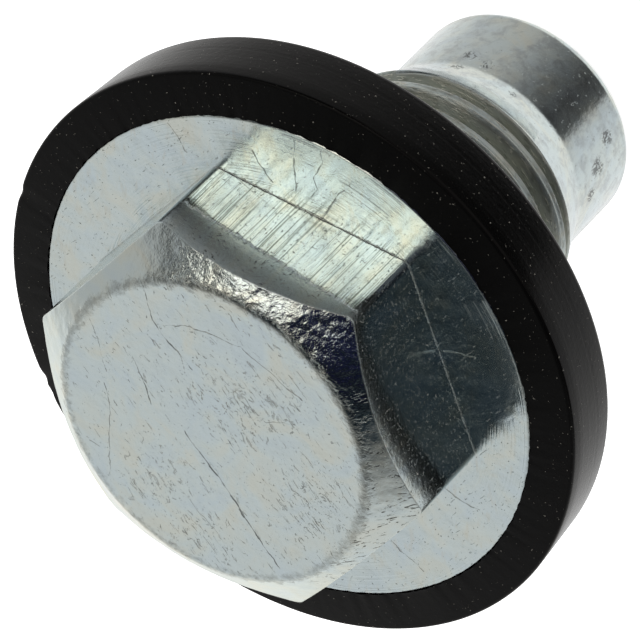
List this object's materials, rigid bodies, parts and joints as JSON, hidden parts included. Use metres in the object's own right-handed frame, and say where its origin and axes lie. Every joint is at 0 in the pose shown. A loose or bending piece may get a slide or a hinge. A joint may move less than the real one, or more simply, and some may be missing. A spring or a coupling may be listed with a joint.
{
  "type": "oil drain plug",
  "caption": "Oil drain plug: steel wrench hexagon on a round flange, threaded shank with a plain pilot point, and a black rubber seal ring moulded round the flange's rim.",
  "frame": {"origin": "centre of the pilot point's flat end, on which the plug stands", "axes": "+Z along the plug's axis from the pilot point to the head; +X through a corner of the wrench hexagon"},
  "size_m": [0.0304, 0.0304, 0.0291],
  "materials": {
    "zinc_plated_steel": "bright zinc plating over cold forged steel, satin",
    "black_rubber": "moulded, matt"
  },
  "bodies": {
    "root": {"plug_body": "zinc_plated_steel", "seal_ring": "black_rubber"}
  },
  "joints": []
}
